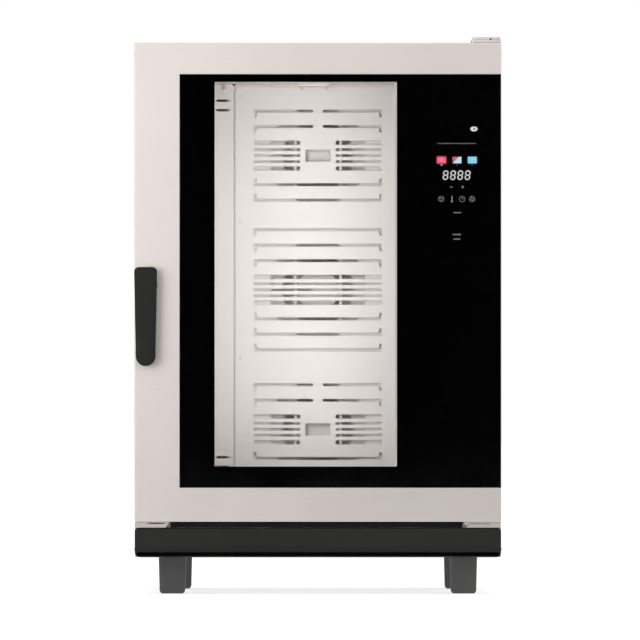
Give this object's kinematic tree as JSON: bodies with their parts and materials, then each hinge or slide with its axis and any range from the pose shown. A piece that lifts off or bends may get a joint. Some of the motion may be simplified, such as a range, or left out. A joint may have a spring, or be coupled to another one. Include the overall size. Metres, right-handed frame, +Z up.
{
  "type": "combi steamer oven",
  "caption": "Tall free-standing convection and steam oven with a full-width glazed door, in-door touch panel, side handle, slotted fan baffle, lift-out tray racks and levelling feet.",
  "frame": {"origin": "on the floor, under the centre of the overall box", "axes": "+X to the right seen from the front, +Y to the back, +Z up; the door faces -Y"},
  "size_m": [0.76, 0.91, 1.155],
  "materials": {
    "outer_steel": "satin brushed stainless steel",
    "cavity_steel": "bright rolled stainless steel, slightly warm",
    "zinc_steel": "plain plated steel",
    "black_plastic": "fine-grained black moulded plastic",
    "foot_plastic": "dark grey glass-filled nylon",
    "seal_rubber": "matt black silicone rubber",
    "mineral_wool": "pressed mineral wool board",
    "clear_glass": "clear tempered float glass",
    "black_enamel": "opaque black ceramic print on the rear of the glass",
    "circuit_board": "green solder mask",
    "lamp_diffuser": "warm white diffuser of the door light",
    "heater_alloy": "oxidised heater sheath",
    "motor_shell": "cast and painted motor shell",
    "brass": "cast brass"
  },
  "bodies": {
    "cabinet": {"air_baffle": "cavity_steel", "back_panel": "outer_steel", "baffle_wing_left": "cavity_steel", "baffle_wing_right": "cavity_steel", "base_tray": "zinc_steel", "cable_gland": "black_plastic", "cavity_liner": "cavity_steel", "cavity_probe": "cavity_steel", "contactor": "black_plastic", "cooling_fan_frame": "black_plastic", "damper_motor": "black_plastic", "door_gasket": "seal_rubber", "door_rest": "outer_steel", "drain_drop": "zinc_steel", "drain_pipe": "zinc_steel", "drain_strainer": "cavity_steel", "fan_motor_bottom": "motor_shell", "fan_motor_middle": "motor_shell", "fan_motor_top": "motor_shell", "flue": "zinc_steel", "front_frame": "outer_steel", "heater_ring_bottom": "heater_alloy", "heater_ring_middle": "heater_alloy", "heater_ring_top": "heater_alloy", "inlet_plate": "cavity_steel", "insulation": "mineral_wool", "latch_strike": "zinc_steel", "left_side_panel": "outer_steel", "lower_hinge_bracket": "outer_steel", "power_board": "circuit_board", "right_side_panel": "outer_steel", "top_panel": "outer_steel", "upper_hinge_bracket": "outer_steel", "wash_nozzle": "cavity_steel", "water_injection_pipe": "cavity_steel", "water_valve": "brass"},
    "door": {"door_frame": "outer_steel", "door_inner_liner": "outer_steel", "door_outer_glass": "clear_glass", "glass_print": "black_enamel", "door_inner_glass": "clear_glass", "door_light": "lamp_diffuser", "control_housing": "black_plastic", "control_board": "circuit_board", "hinge_block_lower": "zinc_steel", "hinge_block_upper": "zinc_steel"},
    "handle": {"door_handle": "black_plastic", "latch_spindle": "zinc_steel"},
    "fan_top": {"fan_wheel_top": "cavity_steel"},
    "fan_middle": {"fan_wheel_middle": "cavity_steel"},
    "fan_bottom": {"fan_wheel_bottom": "cavity_steel"},
    "cooling_fan": {"cooling_fan_rotor": "black_plastic"},
    "damper": {"damper_flap": "zinc_steel"},
    "drip_tray_body": {"drip_tray": "black_plastic"},
    "rack_left": {"tray_rack_left": "cavity_steel"},
    "rack_right": {"tray_rack_right": "cavity_steel"},
    "foot_front_left_body": {"foot_front_left": "foot_plastic"},
    "foot_front_right_body": {"foot_front_right": "foot_plastic"},
    "foot_rear_left_body": {"foot_rear_left": "foot_plastic"},
    "foot_rear_right_body": {"foot_rear_right": "foot_plastic"}
  },
  "joints": [
    {"name": "door_swing", "type": "hinge", "parent": "cabinet", "child": "door", "pos_m": [0.366, -0.372, 0.65], "axis": [0, 0, 1], "range_deg": [0, 120]},
    {"name": "handle_turn", "type": "hinge", "parent": "door", "child": "handle", "pos_m": [-0.356, -0.395, 0.64], "axis": [0, -1, 0], "range_deg": [0, 90]},
    {"name": "fan_top_spin", "type": "hinge", "parent": "cabinet", "child": "fan_top", "pos_m": [0, 0.235, 0.9233], "axis": [0, -1, 0], "continuous": true},
    {"name": "fan_middle_spin", "type": "hinge", "parent": "cabinet", "child": "fan_middle", "pos_m": [0, 0.235, 0.638], "axis": [0, -1, 0], "continuous": true},
    {"name": "fan_bottom_spin", "type": "hinge", "parent": "cabinet", "child": "fan_bottom", "pos_m": [0, 0.235, 0.3411], "axis": [0, -1, 0], "continuous": true},
    {"name": "cooling_fan_spin", "type": "hinge", "parent": "cabinet", "child": "cooling_fan", "pos_m": [0.255, 0.427, 0.26], "axis": [0, 1, 0], "continuous": true},
    {"name": "damper_turn", "type": "hinge", "parent": "cabinet", "child": "damper", "pos_m": [0.2, 0.19, 1.122], "axis": [1, 0, 0], "range_deg": [0, 90]},
    {"name": "drip_tray_slide", "type": "slide", "parent": "cabinet", "child": "drip_tray_body", "axis": [0, -1, 0], "range_m": [0, 0.06]},
    {"name": "rack_left_lift", "type": "slide", "parent": "cabinet", "child": "rack_left", "axis": [0, 0, 1], "range_m": [0, 0.01]},
    {"name": "rack_right_lift", "type": "slide", "parent": "cabinet", "child": "rack_right", "axis": [0, 0, 1], "range_m": [0, 0.01]},
    {"name": "foot_front_left_turn", "type": "hinge", "parent": "cabinet", "child": "foot_front_left_body", "pos_m": [-0.303, -0.282, 0.04], "axis": [0, 0, 1], "continuous": true},
    {"name": "foot_rear_left_turn", "type": "hinge", "parent": "cabinet", "child": "foot_rear_left_body", "pos_m": [-0.298, 0.318, 0.04], "axis": [0, 0, 1], "continuous": true},
    {"name": "foot_front_right_turn", "type": "hinge", "parent": "cabinet", "child": "foot_front_right_body", "pos_m": [0.303, -0.282, 0.04], "axis": [0, 0, 1], "continuous": true},
    {"name": "foot_rear_right_turn", "type": "hinge", "parent": "cabinet", "child": "foot_rear_right_body", "pos_m": [0.298, 0.318, 0.04], "axis": [0, 0, 1], "continuous": true}
  ]
}
